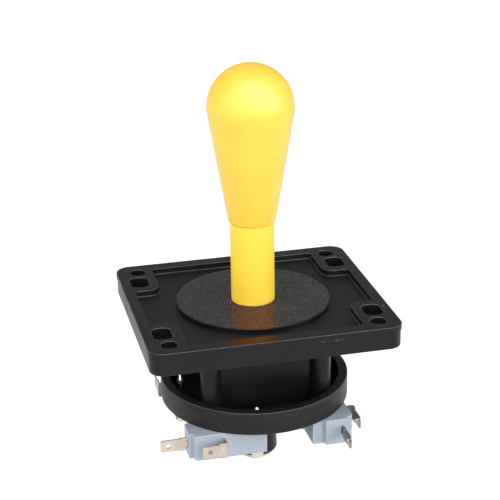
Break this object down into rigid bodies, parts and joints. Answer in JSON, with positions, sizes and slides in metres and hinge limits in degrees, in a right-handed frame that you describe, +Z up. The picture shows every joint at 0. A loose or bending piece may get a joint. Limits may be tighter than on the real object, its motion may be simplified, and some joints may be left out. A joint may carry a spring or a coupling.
{
  "type": "arcade joystick lever",
  "caption": "Arcade joystick lever: bat-shaped handle on a sprung, tilting shaft, with a square mounting plate above and lever microswitches in a pinwheel under a round dish.",
  "frame": {"origin": "middle of the base plate's top face, centre of the panel bolt holes", "axes": "+Z up the stick, +X along the plate's long side, -Y towards the player"},
  "size_m": [0.095, 0.0856, 0.161],
  "materials": {
    "yellow_plastic": "satin moulded plastic",
    "black_plastic": "satin moulded plastic",
    "washer_plastic": "fine pebble grain",
    "bush_plastic": "smooth moulded plastic",
    "shaft_steel": "turned, plated",
    "spring_steel": "drawn wire and stamped strip",
    "screw_steel": "plated",
    "switch_plastic": "matte moulded plastic",
    "plunger_plastic": "smooth moulded plastic",
    "lever_steel": "stamped strip",
    "terminal_brass": "tinned, dull"
  },
  "bodies": {
    "base": {"base_plate": "black_plastic", "dust_washer": "washer_plastic", "switch_plate": "black_plastic", "dish_screws": "screw_steel", "switch_screws": "screw_steel", "lever_pins": "screw_steel", "front_switch_case": "switch_plastic", "front_switch_cover": "switch_plastic", "front_end_terminal": "terminal_brass", "front_common_terminal": "terminal_brass", "right_switch_case": "switch_plastic", "right_switch_cover": "switch_plastic", "right_end_terminal": "terminal_brass", "right_common_terminal": "terminal_brass", "back_switch_case": "switch_plastic", "back_switch_cover": "switch_plastic", "back_end_terminal": "terminal_brass", "back_common_terminal": "terminal_brass", "left_switch_case": "switch_plastic", "left_switch_cover": "switch_plastic", "left_end_terminal": "terminal_brass", "left_common_terminal": "terminal_brass"},
    "spring": {"centring_spring": "spring_steel"},
    "carrier": {"pivot_bush": "bush_plastic", "actuator": "black_plastic"},
    "stick": {"bat_knob": "yellow_plastic", "shaft_sleeve": "yellow_plastic", "stick_shaft": "shaft_steel", "flat_washer": "spring_steel", "retaining_clip": "spring_steel"},
    "front_lever": {"front_switch_lever": "lever_steel"},
    "front_plunger": {"front_switch_plunger": "plunger_plastic"},
    "front_blade": {"front_contact_blade": "terminal_brass"},
    "right_lever": {"right_switch_lever": "lever_steel"},
    "right_plunger": {"right_switch_plunger": "plunger_plastic"},
    "right_blade": {"right_contact_blade": "terminal_brass"},
    "back_lever": {"back_switch_lever": "lever_steel"},
    "back_plunger": {"back_switch_plunger": "plunger_plastic"},
    "back_blade": {"back_contact_blade": "terminal_brass"},
    "left_lever": {"left_switch_lever": "lever_steel"},
    "left_plunger": {"left_switch_plunger": "plunger_plastic"},
    "left_blade": {"left_contact_blade": "terminal_brass"}
  },
  "joints": [
    {"name": "stick_fore_aft", "type": "hinge", "parent": "base", "child": "spring", "pos_m": [0, 0, -0.0016], "axis": [1, 0, 0], "range_deg": [-6, 6], "stiffness_Nm_per_rad": 5, "deforming": ["centring_spring"]},
    {"name": "stick_left_right", "type": "hinge", "parent": "spring", "child": "carrier", "pos_m": [0, 0, -0.0016], "axis": [0, 1, 0], "range_deg": [-6, 6], "stiffness_Nm_per_rad": 5, "deforming": ["centring_spring"]},
    {"name": "stick_spin", "type": "hinge", "parent": "carrier", "child": "stick", "pos_m": [0, 0, -0.0016], "axis": [0, 0, 1], "continuous": true},
    {"name": "front_lever_turn", "type": "hinge", "parent": "base", "child": "front_lever", "pos_m": [-0.02155, -0.0143, -0.0449], "axis": [0, 0, 1], "range_deg": [-12.2, 12.2]},
    {"name": "front_plunger_slide", "type": "slide", "parent": "base", "child": "front_plunger", "axis": [0, 1, 0], "range_m": [-0.00117, 0.00117]},
    {"name": "front_blade_swing", "type": "hinge", "parent": "base", "child": "front_blade", "pos_m": [-0.0088, -0.02026, -0.0449], "axis": [0, 0, 1], "range_deg": [-9.3, 9.3]},
    {"name": "right_lever_turn", "type": "hinge", "parent": "base", "child": "right_lever", "pos_m": [0.0143, -0.02155, -0.0449], "axis": [0, 0, 1], "range_deg": [-12.2, 12.2]},
    {"name": "right_plunger_slide", "type": "slide", "parent": "base", "child": "right_plunger", "axis": [-1, 0, 0], "range_m": [-0.00117, 0.00117]},
    {"name": "right_blade_swing", "type": "hinge", "parent": "base", "child": "right_blade", "pos_m": [0.02026, -0.0088, -0.0449], "axis": [0, 0, 1], "range_deg": [-9.3, 9.3]},
    {"name": "back_lever_turn", "type": "hinge", "parent": "base", "child": "back_lever", "pos_m": [0.02155, 0.0143, -0.0449], "axis": [0, 0, 1], "range_deg": [-12.2, 12.2]},
    {"name": "back_plunger_slide", "type": "slide", "parent": "base", "child": "back_plunger", "axis": [0, -1, 0], "range_m": [-0.00117, 0.00117]},
    {"name": "back_blade_swing", "type": "hinge", "parent": "base", "child": "back_blade", "pos_m": [0.0088, 0.02026, -0.0449], "axis": [0, 0, 1], "range_deg": [-9.3, 9.3]},
    {"name": "left_lever_turn", "type": "hinge", "parent": "base", "child": "left_lever", "pos_m": [-0.0143, 0.02155, -0.0449], "axis": [0, 0, 1], "range_deg": [-12.2, 12.2]},
    {"name": "left_plunger_slide", "type": "slide", "parent": "base", "child": "left_plunger", "axis": [1, 0, 0], "range_m": [-0.00117, 0.00117]},
    {"name": "left_blade_swing", "type": "hinge", "parent": "base", "child": "left_blade", "pos_m": [-0.02026, 0.0088, -0.0449], "axis": [0, 0, 1], "range_deg": [-9.3, 9.3]}
  ],
  "couplings": [
    {"joint": "front_lever_turn", "follows": "stick_fore_aft", "ratio": 2.0093},
    {"joint": "front_plunger_slide", "follows": "stick_fore_aft", "m_per_rad": 0.011051},
    {"joint": "front_blade_swing", "follows": "stick_fore_aft", "ratio": -1.5243},
    {"joint": "right_lever_turn", "follows": "stick_left_right", "ratio": 2.0093},
    {"joint": "right_plunger_slide", "follows": "stick_left_right", "m_per_rad": 0.011051},
    {"joint": "right_blade_swing", "follows": "stick_left_right", "ratio": -1.5243},
    {"joint": "back_lever_turn", "follows": "stick_fore_aft", "ratio": -2.0093},
    {"joint": "back_plunger_slide", "follows": "stick_fore_aft", "m_per_rad": -0.011051},
    {"joint": "back_blade_swing", "follows": "stick_fore_aft", "ratio": 1.5243},
    {"joint": "left_lever_turn", "follows": "stick_left_right", "ratio": -2.0093},
    {"joint": "left_plunger_slide", "follows": "stick_left_right", "m_per_rad": -0.011051},
    {"joint": "left_blade_swing", "follows": "stick_left_right", "ratio": 1.5243}
  ]
}
